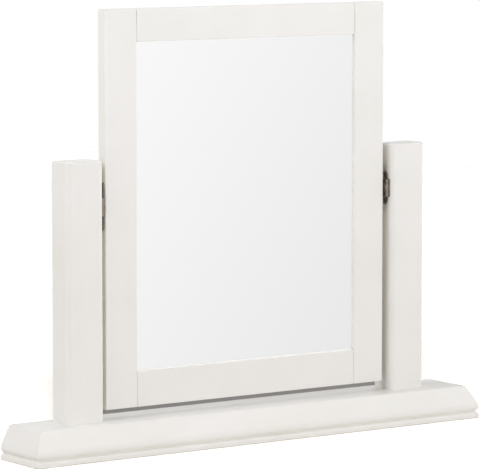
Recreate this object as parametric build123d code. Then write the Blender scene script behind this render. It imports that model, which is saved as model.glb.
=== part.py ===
from build123d import *
from math import acos, cos, isclose, pi, radians, sin, tan
import os

os.makedirs("parts", exist_ok=True)

# A dressing table mirror: two posts on a moulded plinth carry a framed mirror that tilts between them.
# All sizes are in millimetres. X runs along the mirror, Y goes from its front to its back and Z is up.
# The origin is the middle of the base's underside.

# Plinth base: a thin slab below a moulded board, both flat at the back
base_depth = 75.0
base_end_length = 58.0
slab_thickness = 7.4
slab_top_radius = 3.5
slab_bottom_radius = 1.5
board_thickness = 30.4
neck_inset = 3.3
nose_height = 5.8
nose_under_radius = 4.6
nose_over_radius = 10.6
bevel_angle = 28.0
board_top_radius = 3.2
base_back_radius = 1.0

# Posts
post_width = 47.0
post_depth = 32.0
post_height = 283.5
post_setback = 29.9
post_front_radius = 6.3
post_back_radius = 1.2
post_top_radius = 1.6

# Mirror frame: full height stiles with the rails between them
frame_width = 378.0
frame_height = 434.9
frame_thickness = 14.0
stile_width = 41.0
top_rail_height = 36.0
bottom_rail_height = 39.9
frame_edge_radius = 1.2
frame_lift = 10.6
frame_setback = 8.3
side_gap = 7.0

# Glass and back board in the frame's rebate
lip_thickness = 3.0
lip_width = 7.0
glass_thickness = 3.0
back_board_thickness = 3.0
rebate_clearance = 0.75

# Frame dowels
frame_dowel_diameter = 6.0
frame_dowel_length = 30.0
frame_dowel_edge = 9.0
dowel_chamfer = 0.8

# Framing points that hold the back board
point_length = 14.0
point_width = 6.0
point_thickness = 0.5
point_bite = 6.0
points_on_stile = 4
points_on_rail = 3

# Post dowels and post screws
post_dowel_diameter = 8.0
post_dowel_length = 40.0
post_dowel_in_board = 18.0
post_dowel_spacing = 28.0
post_screw_head = 9.5
post_screw_shank = 5.0
post_screw_length = 64.0
post_screw_sink = 12.0
post_screw_bore = 11.0

# Slab screws
slab_screw_head = 7.6
slab_screw_shank = 3.8
slab_screw_length = 18.0
slab_screw_columns = 3
slab_screw_end_distance = 50.0
slab_screw_edge_distance = 14.0

# Pivot axis of the mirror
axis_above_middle = 4.9
axis_behind_frame_front = 5.5

# Post plate: rounded lugs, and between them a wider foot with the block that bears the stud
lug_thickness = 1.5
lug_width = 12.0
lug_height = 38.5
block_foot_width = 19.0
block_width = 17.6
block_height = 20.0
block_edge_radius = 1.0
lug_screw_spacing = 29.5

# Frame plate
frame_plate_thickness = 1.5
frame_plate_width = 8.0
frame_plate_height = 52.5
frame_plate_screw_spacing = 40.0

# Screws of the lugs and of the frame plates
lug_screw_head = 5.6
lug_screw_shank = 2.8
lug_screw_length = 14.0
plate_screw_head = 5.0
plate_screw_shank = 2.6
plate_screw_length = 12.0

# All screws: the straight rim of the head and the width of its cross recess
screw_rim = 0.2
cross_width = 0.9

# Pivot stud, friction washer, disc spring and retaining washer
stud_diameter = 6.0
spigot_diameter = 4.0
stud_head_diameter = 6.8
stud_head_height = 1.1
friction_washer_diameter = 16.0
friction_washer_thickness = 0.8
spring_diameter = 12.0
spring_sheet = 0.7
spring_cone = 0.7
washer_diameter = 11.0
washer_thickness = 1.0
post_recess_diameter = 14.0
stile_recess_diameter = 8.4

# Clearances
running_clearance = 0.05
bearing_gap = 0.2
fit_clearance = 0.05
end_clearance = 0.5
cut_margin = 1.0

# Worked out places
front_y = -base_depth / 2
back_y = base_depth / 2
board_top_z = slab_thickness + board_thickness
frame_half = frame_width / 2
post_inner_x = frame_half + side_gap
post_middle_x = post_inner_x + post_width / 2
half_width = post_inner_x + post_width + base_end_length
post_front_y = front_y + post_setback
post_middle_y = post_front_y + post_depth / 2
frame_front_y = post_front_y + frame_setback
frame_back_y = frame_front_y + frame_thickness
frame_bottom_z = board_top_z + frame_lift
frame_top_z = frame_bottom_z + frame_height
opening_half = frame_half - stile_width
opening_bottom_z = frame_bottom_z + bottom_rail_height
opening_top_z = frame_top_z - top_rail_height
opening_height = opening_top_z - opening_bottom_z
axis_y = frame_front_y + axis_behind_frame_front
axis_z = (frame_bottom_z + frame_top_z) / 2 + axis_above_middle
glass_front_y = frame_front_y + lip_thickness
board_front_y = glass_front_y + glass_thickness
points_front_y = board_front_y + back_board_thickness
block_thickness = side_gap - frame_plate_thickness - friction_washer_thickness - bearing_gap
spring_height = spring_sheet + spring_cone


def block_between(low, high):
    # A box from its lowest corner to its highest
    size = [b - a for a, b in zip(low, high)]
    middle = [(a + b) / 2 for a, b in zip(low, high)]
    return Pos(*middle) * Box(*size)


def arc_section(centre, radius, first, last):
    # Start, middle and end of an arc, as insets and heights, by its angles in degrees
    return [
        (centre[0] - radius * cos(radians(a)), centre[1] + radius * sin(radians(a)))
        for a in (first, (first + last) / 2, last)
    ]


def board_section():
    # The moulded edge from the neck up to the flat top: inset from the outer face, height
    nose_z = slab_thickness + nose_height
    neck_turn = -acos((nose_under_radius - neck_inset) / nose_under_radius) * 180 / pi
    under = arc_section((nose_under_radius, nose_z), nose_under_radius, neck_turn, 0)
    over = arc_section((nose_over_radius, nose_z), nose_over_radius, 0, bevel_angle)
    slope = tan(radians(bevel_angle))
    corner_inset = over[2][0] + (board_top_z - over[2][1]) * slope
    setback = board_top_radius * tan(radians(90 - bevel_angle) / 2)
    centre = (corner_inset + setback, board_top_z - board_top_radius)
    top = arc_section(centre, board_top_radius, bevel_angle, 90)
    return [[(neck_inset, slab_thickness), under[0]], under, over, [over[2], top[0]], top]


def slab_section():
    # The slab's edge from its underside to its top
    low = arc_section((slab_bottom_radius, slab_bottom_radius), slab_bottom_radius, -90, 0)
    top_centre = (slab_top_radius, slab_thickness - slab_top_radius)
    high = arc_section(top_centre, slab_top_radius, 0, 90)
    return [low, [low[2], high[0]], high]


def section_edges(section, place):
    edges = []
    for points in section:
        placed = [place(*p) for p in points]
        edges.append(Line(*placed) if len(placed) == 2 else ThreePointArc(*placed))
    return edges


def moulded_board(section):
    # The edge runs along the front and both ends with mitred corners, and the back is flat
    bottom_z = section[0][0][1]
    top_z = section[-1][-1][1]
    bottom_inset = section[0][0][0]
    top_inset = section[-1][-1][0]

    front = section_edges(section, lambda inset, z: (front_y + inset, z))
    back = Polyline(
        (front_y + top_inset, top_z),
        (back_y, top_z),
        (back_y, bottom_z),
        (front_y + bottom_inset, bottom_z),
    )
    profile = make_face(front + [back])
    back_corners = profile.vertices().group_by(Axis.X)[-1]
    along = extrude(Plane.YZ * fillet(back_corners, base_back_radius), amount=half_width, both=True)

    left = section_edges(section, lambda inset, z: (inset - half_width, z))
    right = section_edges(section, lambda inset, z: (half_width - inset, z))
    top = Line((top_inset - half_width, top_z), (half_width - top_inset, top_z))
    bottom = Line((bottom_inset - half_width, bottom_z), (half_width - bottom_inset, bottom_z))
    across = extrude(Plane.XZ * make_face(left + right + [top, bottom]), amount=base_depth, both=True)
    return along & across


def turned(points):
    # A solid turned about Z from the radii and heights of its outline
    outline = [(0, points[0][1])] + points + [(0, points[-1][1])]
    return revolve(Plane.XZ * make_face(Polyline(*outline, close=True)), Axis.Z)


def countersunk(head, shank, length, clearance=0.0, above=0.0):
    # A countersunk screw's shape, its head's face at Z = 0 and its point down
    head_depth = screw_rim + (head - shank) / 2
    return turned([
        (head / 2 + clearance, above),
        (head / 2 + clearance, -screw_rim - clearance),
        (shank / 2 + clearance, -head_depth - clearance),
        (shank / 2 + clearance, shank - length),
        (shank / 8, -length),
    ])


def wood_screw(head, shank, length):
    # The recess in the head is a cross
    screw = countersunk(head, shank, length)
    depth = (head - shank) / 2
    for turn in (0, 90):
        screw -= Rot(0, 0, turn) * Pos(0, 0, -depth / 2) * Box(head - depth, cross_width, depth)
    return screw


def screw_hole(head, shank, length):
    return countersunk(head, shank, length + end_clearance, fit_clearance, cut_margin)


def dowel(diameter, length):
    # A dowel along Z with its ends chamfered
    pin = Cylinder(diameter / 2, length)
    return chamfer(pin.edges().filter_by(GeomType.CIRCLE), dowel_chamfer)


def dowel_hole(diameter, length):
    return Cylinder(diameter / 2 + fit_clearance, length + 2 * end_clearance)


def cylinder_up(diameter, height):
    return Cylinder(diameter / 2, height, align=(Align.CENTER, Align.CENTER, Align.MIN))


def mirrored(shape):
    # The right hand copy of a left hand piece
    return mirror(shape, about=Plane.YZ)


def along_x(x, y, z):
    # Turns a piece that points up so that it points to +X, and places it
    return Pos(x, y, z) * Rot(0, 90, 0)


def against_x(x, y, z):
    # Turns a piece that points up so that it points to -X, and places it
    return Pos(x, y, z) * Rot(0, -90, 0)


def post_screw_places():
    head_z = slab_thickness + post_screw_sink
    return [Pos(side * post_middle_x, post_middle_y, head_z) * Rot(180, 0, 0) for side in (-1, 1)]


def post_dowel_places():
    middle_z = board_top_z - post_dowel_in_board + post_dowel_length / 2
    return [
        Pos(side * post_middle_x + step * post_dowel_spacing / 2, post_middle_y, middle_z)
        for side in (-1, 1)
        for step in (-1, 1)
    ]


def slab_screw_places():
    reach = half_width - slab_screw_end_distance
    spacing = 2 * reach / (slab_screw_columns - 1)
    depth = back_y - slab_screw_edge_distance
    return [
        Pos(-reach + column * spacing, side * depth, 0) * Rot(180, 0, 0)
        for column in range(slab_screw_columns)
        for side in (-1, 1)
    ]


def frame_dowel_places():
    # Two dowels in each end of each rail, in the wood beyond the rebate
    levels = [
        frame_bottom_z + frame_dowel_edge,
        opening_bottom_z - lip_width - frame_dowel_edge,
        opening_top_z + lip_width + frame_dowel_edge,
        frame_top_z - frame_dowel_edge,
    ]
    middle_y = (frame_front_y + frame_back_y) / 2
    return [Pos(side * opening_half, middle_y, z) * Rot(0, 90, 0) for side in (-1, 1) for z in levels]


def framing_point_boxes():
    # Flat points driven into the rebate's walls over the back board
    y0 = points_front_y
    y1 = y0 + point_thickness
    wall_x = opening_half + lip_width
    reach = point_length - point_bite
    boxes = []
    for i in range(points_on_stile):
        z = opening_bottom_z + (i + 0.5) * opening_height / points_on_stile
        for side in (-1, 1):
            x0, x1 = sorted((side * (wall_x - reach), side * (wall_x + point_bite)))
            boxes.append(block_between((x0, y0, z - point_width / 2), (x1, y1, z + point_width / 2)))
    walls = ((opening_bottom_z - lip_width, 1), (opening_top_z + lip_width, -1))
    for i in range(points_on_rail):
        x = -opening_half + (i + 0.5) * 2 * opening_half / points_on_rail
        for wall_z, inward in walls:
            z0, z1 = sorted((wall_z + inward * reach, wall_z - inward * point_bite))
            boxes.append(block_between((x - point_width / 2, y0, z0), (x + point_width / 2, y1, z1)))
    return boxes


def rebate_corners(clearance=0.0):
    # The low and the high corner, in X and Z, of the space behind the lip or of what is fitted in it
    wide = opening_half + lip_width - clearance
    return (-wide, opening_bottom_z - lip_width + clearance), (wide, opening_top_z + lip_width - clearance)


def base_slab():
    slab = moulded_board(slab_section())
    for place in slab_screw_places():
        slab -= place * screw_hole(slab_screw_head, slab_screw_shank, slab_screw_length)
    return slab


def base_board():
    board = moulded_board(board_section())
    for place in slab_screw_places():
        board -= place * screw_hole(slab_screw_head, slab_screw_shank, slab_screw_length)
    for place in post_screw_places():
        board -= place * screw_hole(post_screw_head, post_screw_shank, post_screw_length)
        board -= place * cylinder_up(post_screw_bore, post_screw_sink)
    for place in post_dowel_places():
        board -= place * dowel_hole(post_dowel_diameter, post_dowel_length)
    return board


def left_post():
    post = block_between(
        (-post_inner_x - post_width, post_front_y, board_top_z),
        (-post_inner_x, post_front_y + post_depth, board_top_z + post_height),
    )
    uprights = post.edges().filter_by(Axis.Z)
    post = fillet(uprights.sort_by(Axis.Y)[:2], post_front_radius)
    uprights = post.edges().filter_by(Axis.Z)
    post = fillet(uprights.sort_by(Axis.Y)[-2:], post_back_radius)
    post = fillet(post.faces().sort_by(Axis.Z)[-1].edges(), post_top_radius)

    for place in post_screw_places():
        post -= place * screw_hole(post_screw_head, post_screw_shank, post_screw_length)
    for place in post_dowel_places():
        post -= place * dowel_hole(post_dowel_diameter, post_dowel_length)
    recess_depth = bearing_gap + spring_height + washer_thickness + stud_head_height + end_clearance
    post -= against_x(-post_inner_x, axis_y, axis_z) * cylinder_up(post_recess_diameter, recess_depth)
    for place in lug_screw_places():
        post -= place * screw_hole(lug_screw_head, lug_screw_shank, lug_screw_length)
    return post


def eased_edges(bar):
    # All round the bar's front, which leaves a fine groove at each joint, and where outer faces meet
    chosen = []
    for edge in bar.edges():
        place = edge.center()
        outer_faces = [
            isclose(place.Y, frame_back_y),
            isclose(abs(place.X), frame_half),
            isclose(place.Z, frame_bottom_z) or isclose(place.Z, frame_top_z),
        ]
        if isclose(place.Y, frame_front_y) or sum(outer_faces) > 1:
            chosen.append(edge)
    return chosen


def frame_bar(low, high):
    # A bar of the frame, less the rebate, the dowel holes and what the points cut
    bar = block_between(low, high)
    bar = fillet(eased_edges(bar), frame_edge_radius)
    (x0, z0), (x1, z1) = rebate_corners()
    bar -= block_between((x0, glass_front_y, z0), (x1, frame_back_y + cut_margin, z1))
    for place in frame_dowel_places():
        bar -= place * dowel_hole(frame_dowel_diameter, frame_dowel_length)
    for point in framing_point_boxes():
        bar -= point
    return bar


def left_stile():
    low = (-frame_half, frame_front_y, frame_bottom_z)
    high = (-opening_half, frame_back_y, frame_top_z)
    stile = frame_bar(low, high)
    recess_depth = stud_head_height + end_clearance
    stile -= along_x(-frame_half, axis_y, axis_z) * cylinder_up(stile_recess_diameter, recess_depth)
    for place in plate_screw_places():
        stile -= place * screw_hole(plate_screw_head, plate_screw_shank, plate_screw_length)
    return stile


def rail(bottom_z, top_z):
    low = (-opening_half, frame_front_y, bottom_z)
    high = (opening_half, frame_back_y, top_z)
    return frame_bar(low, high)


def mirror_glass():
    (x0, z0), (x1, z1) = rebate_corners(rebate_clearance)
    return block_between((x0, glass_front_y, z0), (x1, board_front_y, z1))


def back_board():
    (x0, z0), (x1, z1) = rebate_corners(rebate_clearance)
    return block_between((x0, board_front_y, z0), (x1, points_front_y, z1))


def lug_screw_places():
    # The screws of the left post plate point into the left post
    face_x = -post_inner_x + lug_thickness
    return [
        Pos(face_x, axis_y, axis_z + side * lug_screw_spacing / 2) * Rot(0, 90, 0) for side in (-1, 1)
    ]


def plate_screw_places():
    # The screws of the left frame plate point into the left stile
    face_x = -frame_half - frame_plate_thickness
    return [
        Pos(face_x, axis_y, axis_z + side * frame_plate_screw_spacing / 2) * Rot(0, -90, 0)
        for side in (-1, 1)
    ]


def left_post_plate():
    # Lugs and foot lie flat on the post, and the block stands out towards the frame
    on_post = Plane(origin=(-post_inner_x, axis_y, axis_z), x_dir=(0, 0, 1), z_dir=(1, 0, 0))
    outline = SlotOverall(lug_height, lug_width) + Rectangle(block_height, block_foot_width)
    block = extrude(on_post * Rectangle(block_height, block_width), amount=block_thickness)
    outer_edges = block.faces().sort_by(Axis.X)[-1].edges() + block.edges().filter_by(Axis.X)
    block = fillet(outer_edges, block_edge_radius)
    plate = extrude(on_post * outline, amount=lug_thickness) + block
    bore = cylinder_up(stud_diameter + 2 * running_clearance, block_thickness)
    plate -= along_x(-post_inner_x, axis_y, axis_z) * bore
    for place in lug_screw_places():
        plate -= place * screw_hole(lug_screw_head, lug_screw_shank, lug_screw_length)
    return plate


def left_frame_plate():
    on_frame = Plane(origin=(-frame_half, axis_y, axis_z), x_dir=(0, 0, 1), z_dir=(-1, 0, 0))
    outline = on_frame * SlotOverall(frame_plate_height, frame_plate_width)
    plate = extrude(outline, amount=frame_plate_thickness)
    hole = cylinder_up(spigot_diameter + 2 * fit_clearance, frame_plate_thickness)
    plate -= against_x(-frame_half, axis_y, axis_z) * hole
    for place in plate_screw_places():
        plate -= place * screw_hole(plate_screw_head, plate_screw_shank, plate_screw_length)
    return plate


def left_pivot_stud():
    # Riveted in the frame plate, it passes through the block and ends behind the retaining washer
    shoulder = friction_washer_thickness + block_thickness + 2 * bearing_gap + spring_height
    head = stud_head_height
    levels = [
        (stud_head_diameter / 2, -frame_plate_thickness - head),
        (stud_head_diameter / 2, -frame_plate_thickness),
        (spigot_diameter / 2, -frame_plate_thickness),
        (spigot_diameter / 2, 0),
        (stud_diameter / 2, 0),
        (stud_diameter / 2, shoulder),
        (spigot_diameter / 2, shoulder),
        (spigot_diameter / 2, shoulder + washer_thickness),
        (stud_head_diameter / 2, shoulder + washer_thickness),
        (stud_head_diameter / 2, shoulder + washer_thickness + head),
    ]
    return against_x(-frame_half - frame_plate_thickness, axis_y, axis_z) * turned(levels)


def ring_on_stud(outline):
    # A ring round the left stud, its outline in radii and in distances from the post plate's back
    ring = revolve(Plane.XZ * make_face(Polyline(*outline, close=True)), Axis.Z)
    return against_x(-post_inner_x, axis_y, axis_z) * ring


def left_friction_washer():
    # Between the frame plate and the block, and it turns with the frame plate
    eye = stud_diameter / 2 + running_clearance
    rim = friction_washer_diameter / 2
    near = -block_thickness - bearing_gap
    far = near - friction_washer_thickness
    return ring_on_stud([(eye, near), (rim, near), (rim, far), (eye, far)])


def left_disc_spring():
    # A coned disc whose rim bears on the post plate and whose eye bears on the washer
    eye = stud_diameter / 2 + running_clearance
    rim = spring_diameter / 2
    near = bearing_gap
    return ring_on_stud(
        [(rim, near), (rim, near + spring_sheet), (eye, near + spring_height), (eye, near + spring_cone)]
    )


def left_retaining_washer():
    eye = spigot_diameter / 2 + fit_clearance
    rim = washer_diameter / 2
    near = bearing_gap + spring_height
    far = near + washer_thickness
    return ring_on_stud([(eye, near), (rim, near), (rim, far), (eye, far)])


def group(pieces):
    return Compound(children=pieces)


def both_sides(pieces):
    # Left hand pieces with their right hand copies
    return group(pieces + [mirrored(p) for p in pieces])


post_screw = wood_screw(post_screw_head, post_screw_shank, post_screw_length)
slab_screw = wood_screw(slab_screw_head, slab_screw_shank, slab_screw_length)
lug_screw = wood_screw(lug_screw_head, lug_screw_shank, lug_screw_length)
plate_screw = wood_screw(plate_screw_head, plate_screw_shank, plate_screw_length)
post_dowel = dowel(post_dowel_diameter, post_dowel_length)
frame_dowel = dowel(frame_dowel_diameter, frame_dowel_length)

nodes = {
    "base_slab": base_slab(),
    "base_board": base_board(),
    "slab_screws": group([place * slab_screw for place in slab_screw_places()]),
    "post_screws": group([place * post_screw for place in post_screw_places()]),
    "post_dowels": group([place * post_dowel for place in post_dowel_places()]),
    "top_rail": rail(opening_top_z, frame_top_z),
    "bottom_rail": rail(frame_bottom_z, opening_bottom_z),
    "frame_dowels": group([place * frame_dowel for place in frame_dowel_places()]),
    "mirror_glass": mirror_glass(),
    "back_board": back_board(),
    "framing_points": group(framing_point_boxes()),
    "post_plate_screws": both_sides([place * lug_screw for place in lug_screw_places()]),
    "frame_plate_screws": both_sides([place * plate_screw for place in plate_screw_places()]),
}

left_pieces = {
    "post": left_post(),
    "stile": left_stile(),
    "post_plate": left_post_plate(),
    "frame_plate": left_frame_plate(),
    "pivot_stud": left_pivot_stud(),
    "friction_washer": left_friction_washer(),
    "disc_spring": left_disc_spring(),
    "retaining_washer": left_retaining_washer(),
}
for name, piece in left_pieces.items():
    nodes["left_" + name] = piece
    nodes["right_" + name] = mirrored(piece)

for name, shape in nodes.items():
    export_step(shape, f"parts/{name}.step")
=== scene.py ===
import math

import bmesh
import bpy
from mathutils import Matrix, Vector

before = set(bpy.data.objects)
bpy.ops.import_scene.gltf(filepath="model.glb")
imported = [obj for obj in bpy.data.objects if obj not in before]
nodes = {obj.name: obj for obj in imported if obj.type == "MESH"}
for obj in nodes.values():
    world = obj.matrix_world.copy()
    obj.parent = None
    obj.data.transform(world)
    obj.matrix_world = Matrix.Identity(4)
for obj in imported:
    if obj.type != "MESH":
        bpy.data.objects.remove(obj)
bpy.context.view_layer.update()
mm = 0.001
white = [1.0] * 4
wideNoise = (0.3, 0.7)       # limits between which nearly all of a noise lies
midNoise = (0.35, 0.65)      # limits between which most of it lies
wearSamples = 6              # rays that look for an edge
print("frame loaded:", len(nodes), "nodes")


def linear(hexColour):
    # an sRGB hex colour as the linear values that the shaders take
    channels = [int(hexColour[i:i + 2], 16) / 255 for i in (0, 2, 4)]
    levels = [c / 12.92 if c <= 0.04045 else ((c + 0.055) / 1.055) ** 2.4 for c in channels]
    return levels + [1.0]


def perMetre(size):
    # the scale of a pattern that repeats each so many mm
    return 1 / (size * mm)


def grainScale(grain, grainAxis):
    # the scales of a pattern drawn out along one axis, from its mm across and along
    across, along = (perMetre(size) for size in grain)
    return [along if axis == grainAxis else across for axis in range(3)]


def fromTo(limits, results=(0.0, 1.0)):
    # what a Map Range node takes and gives
    return {"From Min": limits[0], "From Max": limits[1], "To Min": results[0], "To Max": results[1]}


def addNode(tree, kind, settings=None, links=None):
    # one node with its properties and socket values, and what feeds its sockets
    node = tree.nodes.new(kind)
    for name, value in (settings or {}).items():
        if isinstance(name, str) and name in node.bl_rna.properties:
            setattr(node, name, value)
        else:
            node.inputs[name].default_value = value
    for name, source in (links or {}).items():
        tree.links.new(source, node.inputs[name])
    return node


def newMaterial(name):
    material = bpy.data.materials.new(name)
    material.use_nodes = True
    material.node_tree.nodes.clear()
    return material, material.node_tree


def dress(material, *names):
    for name in names:
        slots = nodes[name].data.materials
        slots.clear()
        slots.append(material)


def edgeWear(tree, radius, limits):
    # 0 on a flat face and up to 1 where a normal rounded over the radius leaves the true one
    geometry = addNode(tree, "ShaderNodeNewGeometry")
    rounded = addNode(tree, "ShaderNodeBevel", {"samples": wearSamples, "Radius": radius * mm})
    match = addNode(tree, "ShaderNodeVectorMath", {"operation": "DOT_PRODUCT"},
                    {0: rounded.outputs[0], 1: geometry.outputs["Normal"]})
    worn = addNode(tree, "ShaderNodeMapRange", fromTo(limits), {"Value": match.outputs["Value"]})
    return worn.outputs[0]


def fleckDots(tree, place, scale, look):
    # soft dots at the middles of a cell pattern
    cells = addNode(tree, "ShaderNodeTexVoronoi", {"Scale": scale}, {"Vector": place})
    dots = addNode(tree, "ShaderNodeMapRange", fromTo(look["fleckEdge"], (0.0, look["fleckStrength"])),
                   {"Value": cells.outputs["Distance"]})
    return dots.outputs[0]


# Satin lacquer sprayed on primed beech: an even off-white with a soft sheen. The grain and the
# spray's orange peel are only just felt and the arrises are thinner. Shade is painted into the narrow
# gaps as a yellower, darker tone, and into narrow creases as a darker line.
lacquer = {
    "colour": "F2F0EE",
    "shade": "EEECE8",       # slow change of tone where the coat is thicker
    "arris": "F0ECE4",       # the thin coat on sharp edges lets the primer warm it
    "gapShade": "E6E2CF",      # painted shade: yellower and darker in the gaps, where light bounces between the cream faces
    "creaseShade": "C6C2BC",      # painted shade: a darker line in narrow creases
    "roughness": (0.36, 0.46),
    "ior": 1.5,
    "grain": (1.4, 60.0),    # mm across and along, real pores are a third as wide and wouldn't show
    "grainNoise": {"Scale": 1.0, "Detail": 3.0, "Roughness": 0.6},
    "cloud": 70.0,           # mm
    "cloudDetail": 2.0,
    "peel": 1.6,             # mm between the bumps of the spray
    "peelDetail": 1.0,
    "grainShare": 0.5,       # of the grain in the change of tone
    "toneLimits": (0.5, 1.0),
    "grainDepth": 0.012,     # mm
    "peelDepth": 0.02,       # mm
    "arrisRadius": 1.0,      # mm
    "arrisLimits": (0.995, 0.8),
    "occlusionSamples": 12,
    "gapShadeReach": 13.0,     # mm
    "gapShadeLimits": (0.47, 0.25),    # open share of the space above, where it starts and is full
    "creaseShadeReach": 3.0,      # mm
    "creaseShadeLimits": (0.47, 0.15),
}


def lacqueredBeech(name, grainAxis):
    material, tree = newMaterial(name)
    place = addNode(tree, "ShaderNodeTexCoord").outputs["Object"]
    stretched = addNode(tree, "ShaderNodeMapping", {"Scale": grainScale(lacquer["grain"], grainAxis)},
                        {"Vector": place})
    grain = addNode(tree, "ShaderNodeTexNoise", lacquer["grainNoise"],
                    {"Vector": stretched.outputs[0]}).outputs["Fac"]
    cloud = addNode(tree, "ShaderNodeTexNoise",
                    {"Scale": perMetre(lacquer["cloud"]), "Detail": lacquer["cloudDetail"]},
                    {"Vector": place}).outputs["Fac"]
    peel = addNode(tree, "ShaderNodeTexNoise",
                   {"Scale": perMetre(lacquer["peel"]), "Detail": lacquer["peelDetail"]},
                   {"Vector": place}).outputs["Fac"]

    # tone: slow clouds with a trace of grain
    summed = addNode(tree, "ShaderNodeMath", {"operation": "MULTIPLY_ADD", 1: lacquer["grainShare"]},
                     {0: grain, 2: cloud})
    tone = addNode(tree, "ShaderNodeMapRange", fromTo(lacquer["toneLimits"]),
                   {"Value": summed.outputs[0]})
    body = addNode(tree, "ShaderNodeMix",
                   {"data_type": "RGBA", 6: linear(lacquer["colour"]), 7: linear(lacquer["shade"])},
                   {0: tone.outputs[0]})
    worn = edgeWear(tree, lacquer["arrisRadius"], lacquer["arrisLimits"])
    paint = addNode(tree, "ShaderNodeMix", {"data_type": "RGBA", 7: linear(lacquer["arris"])},
                    {0: worn, 6: body.outputs[2]})

    # painted shade in gaps and narrow creases: darker where little open space is left above the surface,
    # far off and close by
    for part in ("gapShade", "creaseShade"):
        space = addNode(tree, "ShaderNodeAmbientOcclusion",
                        {"samples": lacquer["occlusionSamples"], "Distance": lacquer[part + "Reach"] * mm})
        shut = addNode(tree, "ShaderNodeMapRange", fromTo(lacquer[part + "Limits"]),
                       {"Value": space.outputs["AO"]})
        paint = addNode(tree, "ShaderNodeMix", {"data_type": "RGBA", 7: linear(lacquer[part])},
                        {0: shut.outputs[0], 6: paint.outputs[2]})

    sheen = addNode(tree, "ShaderNodeMapRange", fromTo(wideNoise, lacquer["roughness"]), {"Value": peel})
    fibres = addNode(tree, "ShaderNodeBump", {"Strength": 1.0, "Distance": lacquer["grainDepth"] * mm},
                     {"Height": grain})
    skin = addNode(tree, "ShaderNodeBump", {"Strength": 1.0, "Distance": lacquer["peelDepth"] * mm},
                   {"Height": peel, "Normal": fibres.outputs[0]})
    shader = addNode(tree, "ShaderNodeBsdfPrincipled", {"IOR": lacquer["ior"]},
                     {"Base Color": paint.outputs[2], "Roughness": sheen.outputs[0],
                      "Normal": skin.outputs[0]})
    addNode(tree, "ShaderNodeOutputMaterial", links={"Surface": shader.outputs[0]})
    return material


grainAlongX = lacqueredBeech("lacquered_beech_grain_along_x", 0)
grainAlongZ = lacqueredBeech("lacquered_beech_grain_along_z", 2)
dress(grainAlongX, "base_slab", "base_board", "top_rail", "bottom_rail")
dress(grainAlongZ, "left_post", "right_post", "left_stile", "right_stile")
print("lacquer on the wood")


# Float glass silvered on its back: a clean, neutral reflection that loses a little light, with the
# green of cut glass on its edges and the grey backing paint behind
glass = {
    "silver": "FBFBFB",
    "cutEdge": "7F9C90",
    "backing": "6E6A66",
    "facing": 0.5,           # how far a face has to look to the front or the back
    "roughness": (0.012, 0.03),
    "paintRoughness": 0.4,
    "smear": 45.0,           # mm, faint wiping marks
    "smearNoise": {"Detail": 4.0, "Distortion": 1.5},
    "smearLimits": (0.35, 0.75),
}


def silveredGlass():
    material, tree = newMaterial("silvered_float_glass")
    place = addNode(tree, "ShaderNodeTexCoord").outputs["Object"]
    geometry = addNode(tree, "ShaderNodeNewGeometry")
    facing = addNode(tree, "ShaderNodeSeparateXYZ",
                     links={0: geometry.outputs["True Normal"]}).outputs["Y"]
    front = addNode(tree, "ShaderNodeMath", {"operation": "LESS_THAN", 1: -glass["facing"]},
                    {0: facing}).outputs[0]
    back = addNode(tree, "ShaderNodeMath", {"operation": "GREATER_THAN", 1: glass["facing"]},
                   {0: facing}).outputs[0]
    smear = addNode(tree, "ShaderNodeTexNoise",
                    {"Scale": perMetre(glass["smear"]), **glass["smearNoise"]}, {"Vector": place})
    wiped = addNode(tree, "ShaderNodeMapRange", fromTo(glass["smearLimits"], glass["roughness"]),
                    {"Value": smear.outputs["Fac"]})
    sides = addNode(tree, "ShaderNodeMix",
                    {"data_type": "RGBA", 6: linear(glass["cutEdge"]), 7: linear(glass["backing"])},
                    {0: back})
    colour = addNode(tree, "ShaderNodeMix", {"data_type": "RGBA", 7: linear(glass["silver"])},
                     {0: front, 6: sides.outputs[2]})
    dull = addNode(tree, "ShaderNodeMix", {"data_type": "FLOAT", 2: glass["paintRoughness"]},
                   {0: front, 3: wiped.outputs[0]})
    shader = addNode(tree, "ShaderNodeBsdfPrincipled", {},
                     {"Base Color": colour.outputs[2], "Metallic": front, "Roughness": dull.outputs[0]})
    addNode(tree, "ShaderNodeOutputMaterial", links={"Surface": shader.outputs[0]})
    return material


dress(silveredGlass(), "mirror_glass")
print("glass silvered")


# What the finishes of all the metal pieces share
metalSkin = {
    "mottleDetail": 4.0,
    "wearLimits": (0.98, 0.75),
    "bumpStrength": 0.4,
    "bumpDepth": 0.02,       # mm
}


# Antique bronze plating on pressed steel: a soft grey brown with darker patches, lighter where
# edges rub
bronze = {
    "colour": "958E86",
    "patch": "756D62",
    "rubbed": "B9AFA0",
    "roughness": (0.3, 0.45),
    "mottle": 2.2,           # mm
    "edgeRadius": 0.45,      # mm
}


# The same plating left darker on the small screws
screwBronze = {
    "colour": "5C544A",
    "patch": "413A33",
    "rubbed": "A39883",
    "roughness": (0.35, 0.5),
    "mottle": 0.9,           # mm
    "edgeRadius": 0.3,       # mm
}


# Bright zinc plating on steel screws and studs: light grey with a faint spangle
zinc = {
    "colour": "B9BBBB",
    "patch": "A6A8AA",
    "rubbed": "CFD0CF",
    "roughness": (0.26, 0.4),
    "mottle": 1.2,           # mm
    "edgeRadius": 0.3,       # mm
}


# Oiled spring steel: dark blue grey, smooth
spring = {
    "colour": "5C5F63",
    "patch": "4B4D52",
    "rubbed": "84878A",
    "roughness": (0.25, 0.35),
    "mottle": 2.5,           # mm
    "edgeRadius": 0.2,       # mm
}


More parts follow.
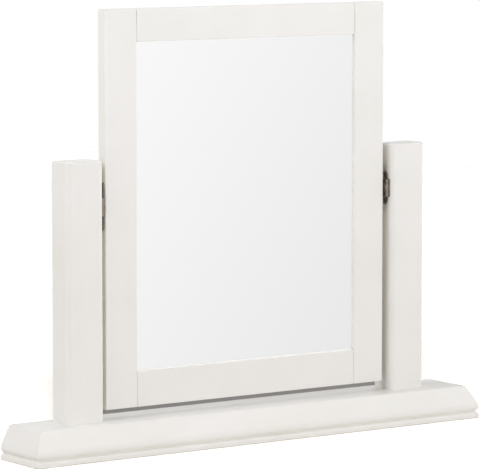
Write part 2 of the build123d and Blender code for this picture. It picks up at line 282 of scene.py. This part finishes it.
def finishedSteel(name, look):
    material, tree = newMaterial(name)
    place = addNode(tree, "ShaderNodeTexCoord").outputs["Object"]
    mottle = addNode(tree, "ShaderNodeTexNoise",
                     {"Scale": perMetre(look["mottle"]), "Detail": metalSkin["mottleDetail"]},
                     {"Vector": place}).outputs["Fac"]
    tone = addNode(tree, "ShaderNodeMapRange", fromTo(midNoise), {"Value": mottle})
    body = addNode(tree, "ShaderNodeMix",
                   {"data_type": "RGBA", 6: linear(look["colour"]), 7: linear(look["patch"])},
                   {0: tone.outputs[0]})
    worn = edgeWear(tree, look["edgeRadius"], metalSkin["wearLimits"])
    broken = addNode(tree, "ShaderNodeMath", {"operation": "MULTIPLY"}, {0: worn, 1: mottle})
    colour = addNode(tree, "ShaderNodeMix", {"data_type": "RGBA", 7: linear(look["rubbed"])},
                     {0: broken.outputs[0], 6: body.outputs[2]})
    sheen = addNode(tree, "ShaderNodeMapRange", fromTo(wideNoise, look["roughness"]), {"Value": mottle})
    skin = addNode(tree, "ShaderNodeBump",
                   {"Strength": metalSkin["bumpStrength"], "Distance": metalSkin["bumpDepth"] * mm},
                   {"Height": mottle})
    shader = addNode(tree, "ShaderNodeBsdfPrincipled", {"Metallic": 1.0},
                     {"Base Color": colour.outputs[2], "Roughness": sheen.outputs[0],
                      "Normal": skin.outputs[0]})
    addNode(tree, "ShaderNodeOutputMaterial", links={"Surface": shader.outputs[0]})
    return material


bronzePlated = finishedSteel("antique_bronze_plated_steel", bronze)
darkBronze = finishedSteel("dark_bronze_plated_screws", screwBronze)
zincPlated = finishedSteel("zinc_plated_steel", zinc)
springSteel = finishedSteel("oiled_spring_steel", spring)
dress(darkBronze, "post_plate_screws", "frame_plate_screws")
dress(zincPlated, "slab_screws", "post_screws", "framing_points")
for side in ("left", "right"):
    dress(bronzePlated, f"{side}_post_plate", f"{side}_frame_plate", f"{side}_friction_washer")
    dress(zincPlated, f"{side}_pivot_stud", f"{side}_retaining_washer")
    dress(springSteel, f"{side}_disc_spring")
print("metal plated")


# Hardboard, smooth side out: mid brown with fine pressed fibres and darker flecks
hardboard = {
    "colour": "8A6647",
    "dark": "6E4E35",
    "fleck": "4E3625",
    "fibre": (1.0, 9.0),     # mm, drawn coarser than the real fibre so that it shows
    "fibreNoise": {"Scale": 1.0, "Detail": 4.0},
    "layers": ((0, 0.5), (2, 0.3)),      # axis along the fibres and their turn in radians
    "feltLimits": (0.75, 1.25),
    "fleckSize": 2.6,        # mm
    "fleckEdge": (0.22, 0.1),
    "fleckStrength": 0.7,
    "roughness": (0.5, 0.66),
    "ior": 1.5,
    "bumpStrength": 0.5,
    "bumpDepth": 0.05,       # mm
}


def pressedHardboard():
    material, tree = newMaterial("hardboard_smooth_side")
    place = addNode(tree, "ShaderNodeTexCoord").outputs["Object"]
    fibres = []
    for axis, turn in hardboard["layers"]:
        lie = addNode(tree, "ShaderNodeMapping",
                      {"Scale": grainScale(hardboard["fibre"], axis), "Rotation": [0, turn, 0]},
                      {"Vector": place})
        fibres.append(addNode(tree, "ShaderNodeTexNoise", hardboard["fibreNoise"],
                              {"Vector": lie.outputs[0]}).outputs["Fac"])
    felt = addNode(tree, "ShaderNodeMath", {"operation": "ADD"}, {0: fibres[0], 1: fibres[1]}).outputs[0]
    tone = addNode(tree, "ShaderNodeMapRange", fromTo(hardboard["feltLimits"]), {"Value": felt})
    body = addNode(tree, "ShaderNodeMix",
                   {"data_type": "RGBA", 6: linear(hardboard["dark"]), 7: linear(hardboard["colour"])},
                   {0: tone.outputs[0]})
    dots = fleckDots(tree, place, perMetre(hardboard["fleckSize"]), hardboard)
    colour = addNode(tree, "ShaderNodeMix", {"data_type": "RGBA", 7: linear(hardboard["fleck"])},
                     {0: dots, 6: body.outputs[2]})
    sheen = addNode(tree, "ShaderNodeMapRange",
                    fromTo(hardboard["feltLimits"], hardboard["roughness"]), {"Value": felt})
    skin = addNode(tree, "ShaderNodeBump",
                   {"Strength": hardboard["bumpStrength"], "Distance": hardboard["bumpDepth"] * mm},
                   {"Height": felt})
    shader = addNode(tree, "ShaderNodeBsdfPrincipled", {"IOR": hardboard["ior"]},
                     {"Base Color": colour.outputs[2], "Roughness": sheen.outputs[0],
                      "Normal": skin.outputs[0]})
    addNode(tree, "ShaderNodeOutputMaterial", links={"Surface": shader.outputs[0]})
    return material


dress(pressedHardboard(), "back_board")


# Bare beech dowel stock: pale pinkish tan with short brown flecks along the grain
beech = {
    "colour": "CDA27A",
    "dark": "B98C63",
    "fleck": "8E6240",
    "grain": (0.7, 22.0),    # mm across and along
    "grainNoise": {"Scale": 1.0, "Detail": 4.0},
    "fleckScale": 0.6,       # flecks for each width of the grain
    "fleckEdge": (0.2, 0.08),
    "fleckStrength": 0.6,
    "roughness": (0.55, 0.7),
    "ior": 1.5,
    "bumpStrength": 0.5,
    "bumpDepth": 0.04,       # mm
}


def bareBeech(name, grainAxis):
    material, tree = newMaterial(name)
    place = addNode(tree, "ShaderNodeTexCoord").outputs["Object"]
    lie = addNode(tree, "ShaderNodeMapping", {"Scale": grainScale(beech["grain"], grainAxis)},
                  {"Vector": place}).outputs[0]
    grain = addNode(tree, "ShaderNodeTexNoise", beech["grainNoise"], {"Vector": lie}).outputs["Fac"]
    tone = addNode(tree, "ShaderNodeMapRange", fromTo(midNoise), {"Value": grain})
    body = addNode(tree, "ShaderNodeMix",
                   {"data_type": "RGBA", 6: linear(beech["dark"]), 7: linear(beech["colour"])},
                   {0: tone.outputs[0]})
    dots = fleckDots(tree, lie, beech["fleckScale"], beech)
    colour = addNode(tree, "ShaderNodeMix", {"data_type": "RGBA", 7: linear(beech["fleck"])},
                     {0: dots, 6: body.outputs[2]})
    sheen = addNode(tree, "ShaderNodeMapRange", fromTo(wideNoise, beech["roughness"]), {"Value": grain})
    skin = addNode(tree, "ShaderNodeBump",
                   {"Strength": beech["bumpStrength"], "Distance": beech["bumpDepth"] * mm},
                   {"Height": grain})
    shader = addNode(tree, "ShaderNodeBsdfPrincipled", {"IOR": beech["ior"]},
                     {"Base Color": colour.outputs[2], "Roughness": sheen.outputs[0],
                      "Normal": skin.outputs[0]})
    addNode(tree, "ShaderNodeOutputMaterial", links={"Surface": shader.outputs[0]})
    return material


dress(bareBeech("beech_dowel_upright", 2), "post_dowels")
dress(bareBeech("beech_dowel_level", 0), "frame_dowels")
print("back board and dowels")


# Studio: a broad soft lamp at the left and weaker ones at the front, the right, high on the left
# and above, with soft light from the right and from below, as off a white table. The floor is lit
# to white by a sun of its own, whose shadow falls behind the object and shows through the slit
# below the frame.
studio = {
    # middle of each lobe of the room's light and its level there
    "lobes": (((1, 0, 0), 0.8), ((0, -0.7071, -0.7071), 0.38),
              ((-0.7071, 0, -0.7071), 0.58), ((0.7071, 0, -0.7071), 0.6)),
    # degrees left of the front, degrees up, m wide, m away, level on a surface that faces it
    "softLamps": {
        "left_soft": (95, 36, 2.2, 2.6, 0.66),
        "front_soft": (0, 16, 1.3, 2.6, 0.30),
        "right_soft": (-50, 25, 1.6, 2.6, 0.19),
        "high_left_soft": (55, 60, 1.3, 2.6, 0.03),
        "overhead_soft": (180, 76, 0.9, 2.6, 0.11),
    },
    # degrees left of the front, degrees up, degrees wide, m away, level on the floor
    "floorSun": (35, 25, 14.0, 3.0, 2.95),
    "floorSeen": (0.340, 0.331, 0.318),      # colour to the eye
    "floorBounce": (0.187, 0.178, 0.166),    # what it sends on to the object
    "floorSize": (2.4, 0.5, 3.5),            # m to each side, to the front and to the back
    "floorDrop": 0.1,                        # mm below the underside
    # slope, level and lower limit of what the glass mirrors
    "mirroredFall": ((-1.5, 0.0, 0.8), 1.85, 0.7),
    "aim": (0.0, 0.0, 0.22),                 # where the lamps look
}


def polished(tree):
    # 1 for rays that a shiny surface sends on
    rays = addNode(tree, "ShaderNodeLightPath")
    either = addNode(tree, "ShaderNodeMath", {"operation": "MAXIMUM"},
                     {0: rays.outputs["Is Glossy Ray"], 1: rays.outputs["Is Transmission Ray"]})
    return either.outputs[0]


def paleFloor():
    material, tree = newMaterial("pale_studio_floor")
    seen = addNode(tree, "ShaderNodeBsdfDiffuse", {"Color": [*studio["floorSeen"], 1.0]})
    bounce = addNode(tree, "ShaderNodeBsdfDiffuse", {"Color": [*studio["floorBounce"], 1.0]})
    mirrored = addNode(tree, "ShaderNodeEmission", {"Color": white, "Strength": 1.0})
    eye = addNode(tree, "ShaderNodeLightPath").outputs["Is Camera Ray"]
    plain = addNode(tree, "ShaderNodeMixShader",
                    links={0: eye, 1: bounce.outputs[0], 2: seen.outputs[0]})
    shader = addNode(tree, "ShaderNodeMixShader",
                     links={0: polished(tree), 1: plain.outputs[0], 2: mirrored.outputs[0]})
    addNode(tree, "ShaderNodeOutputMaterial", links={"Surface": shader.outputs[0]})
    return material


def floorSheet():
    side, front, back = studio["floorSize"]
    middle = (0, (back - front) / 2, -studio["floorDrop"] * mm)
    sheet = bmesh.new()
    bmesh.ops.create_grid(sheet, x_segments=1, y_segments=1, size=1.0)
    bmesh.ops.scale(sheet, vec=(side, (front + back) / 2, 1), verts=sheet.verts)
    bmesh.ops.translate(sheet, vec=middle, verts=sheet.verts)
    mesh = bpy.data.meshes.new("floor")
    sheet.to_mesh(mesh)
    sheet.free()
    mesh.materials.append(paleFloor())
    floor = bpy.data.objects.new("floor", mesh)
    bpy.context.scene.collection.objects.link(floor)
    return floor


def room():
    # white to the eye, soft lobes of light on the object, a slow fall in what the glass mirrors
    world = bpy.data.worlds.new("white_studio")
    bpy.context.scene.world = world
    world.use_nodes = True
    tree = world.node_tree
    tree.nodes.clear()
    way = addNode(tree, "ShaderNodeTexCoord").outputs["Generated"]
    total = None
    for middle, level in studio["lobes"]:
        turn = addNode(tree, "ShaderNodeVectorMath", {"operation": "DOT_PRODUCT", 1: middle}, {0: way})
        lobe = addNode(tree, "ShaderNodeMath", {"operation": "MAXIMUM", 1: 0.0},
                       {0: turn.outputs["Value"]})
        summed = addNode(tree, "ShaderNodeMath", {"operation": "MULTIPLY_ADD", 1: level, 2: 0.0},
                         {0: lobe.outputs[0]})
        if total:
            tree.links.new(total, summed.inputs[2])
        total = summed.outputs[0]
    lit = addNode(tree, "ShaderNodeBackground", {"Color": white}, {"Strength": total})
    plain = addNode(tree, "ShaderNodeBackground", {"Color": white, "Strength": 1.0})
    slope, level, least = studio["mirroredFall"]
    fall = addNode(tree, "ShaderNodeVectorMath", {"operation": "DOT_PRODUCT", 1: slope}, {0: way})
    tone = addNode(tree, "ShaderNodeMath", {"operation": "ADD", 1: level, "use_clamp": True},
                   {0: fall.outputs["Value"]})
    held = addNode(tree, "ShaderNodeMath", {"operation": "MAXIMUM", 1: least}, {0: tone.outputs[0]})
    mirrored = addNode(tree, "ShaderNodeBackground", {"Color": white}, {"Strength": held.outputs[0]})
    eye = addNode(tree, "ShaderNodeLightPath").outputs["Is Camera Ray"]
    direct = addNode(tree, "ShaderNodeMixShader",
                     links={0: eye, 1: lit.outputs[0], 2: plain.outputs[0]})
    shader = addNode(tree, "ShaderNodeMixShader",
                     links={0: polished(tree), 1: direct.outputs[0], 2: mirrored.outputs[0]})
    addNode(tree, "ShaderNodeOutputWorld", links={"Surface": shader.outputs[0]})


def lampTowards(name, kind, azimuth, elevation, distance):
    # a lamp that looks at the object from an azimuth left of the front and an elevation
    azimuth, elevation = math.radians(azimuth), math.radians(elevation)
    way = Vector((-math.sin(azimuth) * math.cos(elevation), -math.cos(azimuth) * math.cos(elevation),
                  math.sin(elevation)))
    lamp = bpy.data.objects.new(name, bpy.data.lights.new(name, kind))
    lamp.location = Vector(studio["aim"]) + way * distance
    lamp.rotation_mode = "QUATERNION"
    lamp.rotation_quaternion = way.to_track_quat("Z", "Y")
    bpy.context.scene.collection.objects.link(lamp)
    return lamp


def softLamp(name, azimuth, elevation, size, distance, level):
    lamp = lampTowards(name, "AREA", azimuth, elevation, distance)
    lamp.data.shape = "SQUARE"
    lamp.data.size = size
    lamp.data.energy = level * (math.pi * distance) ** 2


def floorSun(floor):
    # its light falls on the floor alone, and the object's shadow stays in it
    azimuth, elevation, width, distance, level = studio["floorSun"]
    sun = lampTowards("floor_sun", "SUN", azimuth, elevation, distance)
    sun.data.angle = math.radians(width)
    sun.data.energy = level * math.pi / math.sin(math.radians(elevation))
    lit = bpy.data.collections.new("lit_by_the_floor_sun")
    lit.objects.link(floor)
    sun.light_linking.receiver_collection = lit


floor = floorSheet()
room()
for name, lamp in studio["softLamps"].items():
    softLamp(name, *lamp)
floorSun(floor)
print("studio lit")


# Camera: a long lens at the left front, a little above
view = {
    "place": (-2.2415, -3.1480, 0.6391),
    "turn": 35.313,          # degrees from +Y towards +X
    "dip": 6.057,            # degrees below the horizon
    "lens": 262.2,           # mm
    "sensor": 36.0,          # mm
    "farthest": 50.0,        # m
}


def photographCamera():
    camera = bpy.data.cameras.new("camera")
    camera.lens = view["lens"]
    camera.sensor_width = view["sensor"]
    camera.clip_end = view["farthest"]
    eye = bpy.data.objects.new("camera", camera)
    eye.location = view["place"]
    eye.rotation_euler = (math.radians(90 - view["dip"]), 0.0, math.radians(-view["turn"]))
    bpy.context.scene.collection.objects.link(eye)
    bpy.context.scene.camera = eye


photographCamera()
bpy.context.scene.view_settings.view_transform = "Standard"
print("camera placed")
